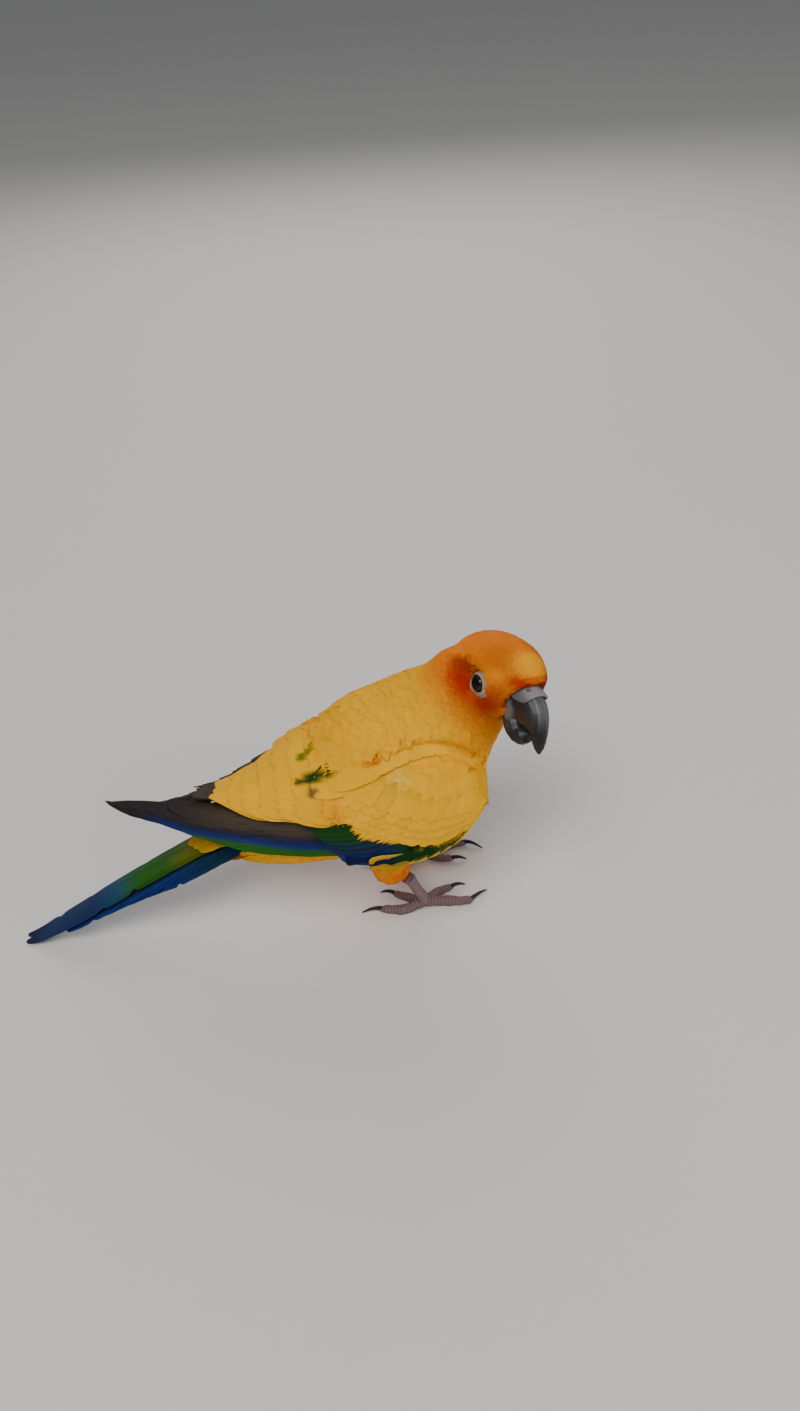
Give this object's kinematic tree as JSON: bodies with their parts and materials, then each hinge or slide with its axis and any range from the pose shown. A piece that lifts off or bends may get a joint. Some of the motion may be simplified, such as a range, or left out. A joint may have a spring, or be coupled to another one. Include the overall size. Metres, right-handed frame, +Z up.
{
  "type": "sun conure figure",
  "caption": "Life-size still model of a sun conure standing with wings folded, tail tip on the floor and head turned to its right.",
  "frame": {"origin": "middle of the bird's outline, on the floor that its soles and tail tip stand on", "axes": "+X along the body from the tail's tip to the breast, +Y to the bird's left, +Z up"},
  "size_m": [0.2318, 0.0742, 0.1332],
  "materials": {
    "yellow_feathers": "soft",
    "orange_feathers": "soft",
    "flight_feathers": "satin",
    "tail_feathers": "satin",
    "bare_skin": "matte",
    "foot_skin": "matte",
    "bill_horn": "satin",
    "claw_horn": "satin",
    "eye": "gloss"
  },
  "bodies": {
    "root": {"head": "orange_feathers", "neck": "yellow_feathers", "torso": "yellow_feathers", "rump": "yellow_feathers", "cere": "bare_skin", "upper_bill": "bill_horn", "lower_bill": "bill_horn", "eye_right": "eye", "eye_left": "eye", "wing_right_coverts": "yellow_feathers", "wing_right_primaries": "flight_feathers", "wing_right_secondaries": "flight_feathers", "wing_left_coverts": "yellow_feathers", "wing_left_primaries": "flight_feathers", "wing_left_secondaries": "flight_feathers", "tail": "tail_feathers", "right_tarsus": "foot_skin", "right_thigh": "orange_feathers", "right_toe_outer_front": "foot_skin", "right_claw_outer_front": "claw_horn", "right_toe_inner_front": "foot_skin", "right_claw_inner_front": "claw_horn", "right_toe_outer_rear": "foot_skin", "right_claw_outer_rear": "claw_horn", "right_toe_inner_rear": "foot_skin", "right_claw_inner_rear": "claw_horn", "left_tarsus": "foot_skin", "left_thigh": "orange_feathers", "left_toe_outer_front": "foot_skin", "left_claw_outer_front": "claw_horn", "left_toe_inner_front": "foot_skin", "left_claw_inner_front": "claw_horn", "left_toe_outer_rear": "foot_skin", "left_claw_outer_rear": "claw_horn", "left_toe_inner_rear": "foot_skin", "left_claw_inner_rear": "claw_horn"}
  },
  "joints": []
}
